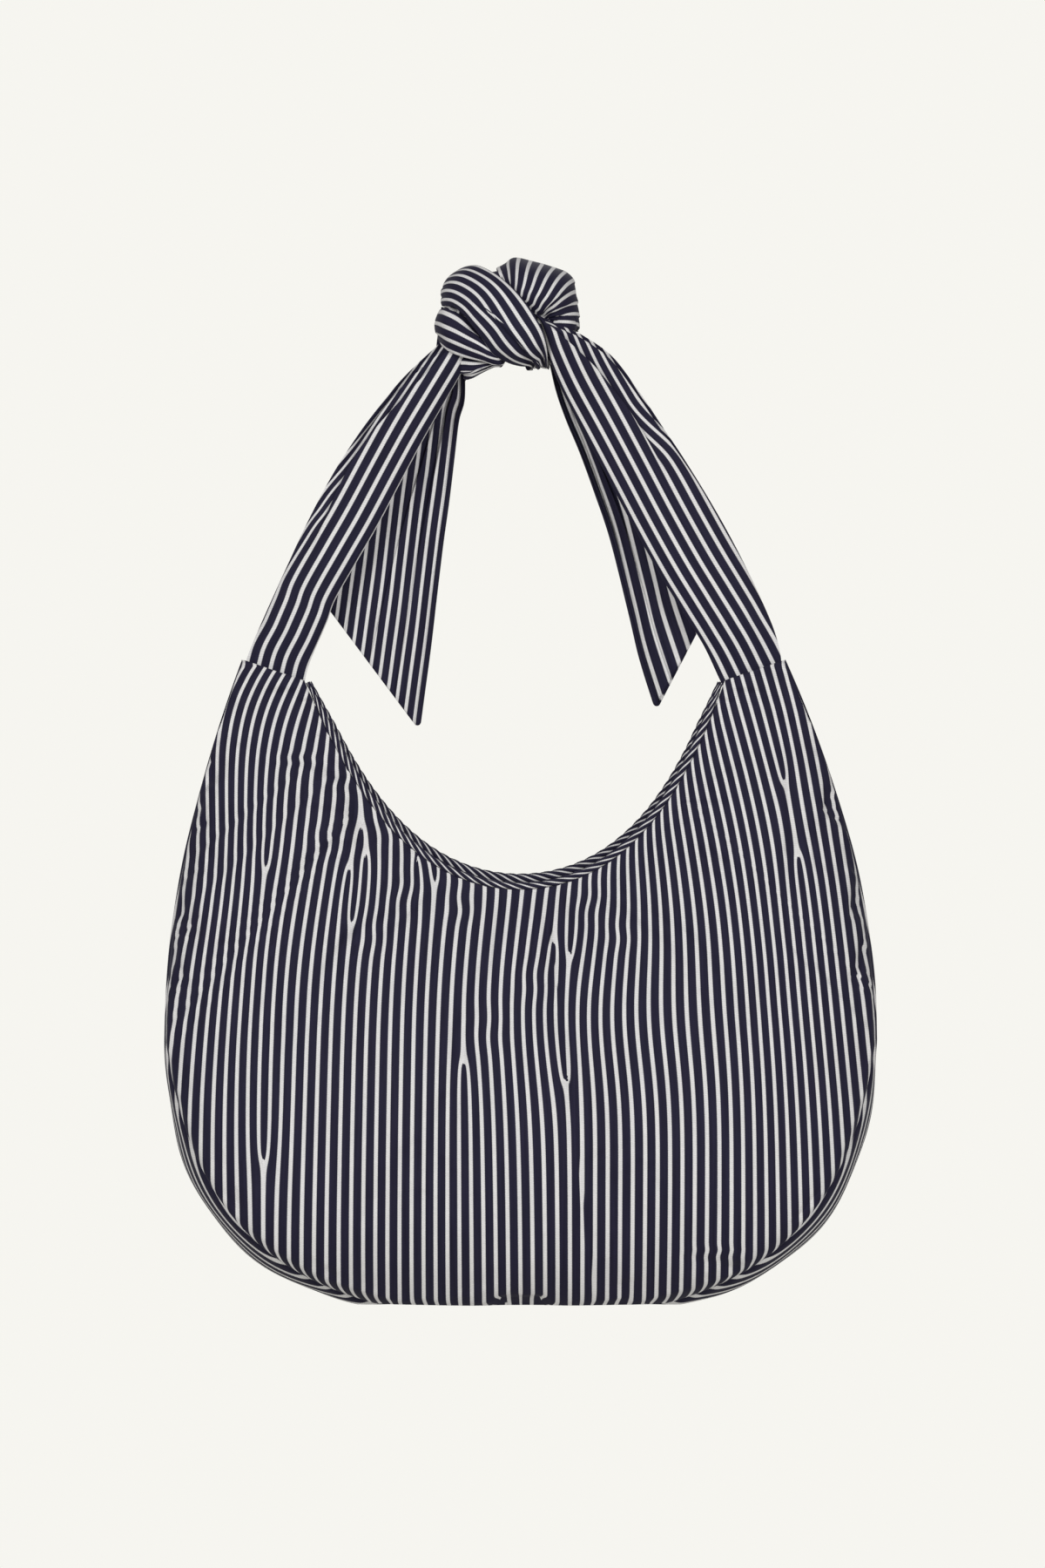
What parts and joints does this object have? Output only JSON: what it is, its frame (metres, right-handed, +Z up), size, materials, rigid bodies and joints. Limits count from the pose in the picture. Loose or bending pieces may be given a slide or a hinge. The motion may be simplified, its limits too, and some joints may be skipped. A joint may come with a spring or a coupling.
{
  "type": "knotted shoulder bag",
  "caption": "Soft striped cotton shoulder bag with a round open mouth, side gussets and two cloth straps tied in one knot, their loose ends hanging as tails.",
  "frame": {"origin": "the point under the knot where a hook or a shoulder carries the bag", "axes": "+Z up towards the knot, -Y towards the front, +X towards the right as seen from the front"},
  "size_m": [0.4058, 0.1146, 0.6],
  "materials": {
    "stripe": "striped cotton, matt",
    "stripe_dark": "striped cotton in the second piece's shade, matt",
    "binding": "bias-cut striped cotton, matt",
    "lining": "plain cotton, matt",
    "label": "woven tape, matt",
    "metal": "nickel, satin"
  },
  "bodies": {
    "handle": {"left_strap": "stripe", "right_strap": "stripe", "left_knot_bight": "stripe", "right_knot_bight": "stripe_dark"},
    "bag": {"front_panel": "stripe", "back_panel": "stripe", "left_gusset": "stripe_dark", "right_gusset": "stripe_dark", "front_binding": "binding", "back_binding": "binding", "front_lining": "lining", "back_lining": "lining", "left_gusset_lining": "lining", "right_gusset_lining": "lining", "slip_pocket": "lining", "pocket_hem": "lining", "blank_label": "label", "snap_socket": "metal", "snap_stud": "metal", "snap_socket_plate": "metal", "snap_stud_plate": "metal"},
    "left_tail": {"left_tail": "stripe_dark"},
    "right_tail": {"right_tail": "stripe_dark"}
  },
  "joints": [
    {"name": "bag_fold", "type": "hinge", "parent": "handle", "child": "bag", "pos_m": [0, 0, -0.17155], "axis": [-1, 0, 0], "range_deg": [-110, 130]},
    {"name": "left_tail_swing", "type": "hinge", "parent": "handle", "child": "left_tail", "pos_m": [-0.038, 0.02, 0.02], "axis": [1, 0, 0], "range_deg": [-2, 100]},
    {"name": "right_tail_swing", "type": "hinge", "parent": "handle", "child": "right_tail", "pos_m": [0.017, 0.02, 0.02], "axis": [1, 0, 0], "range_deg": [-2, 100]}
  ]
}
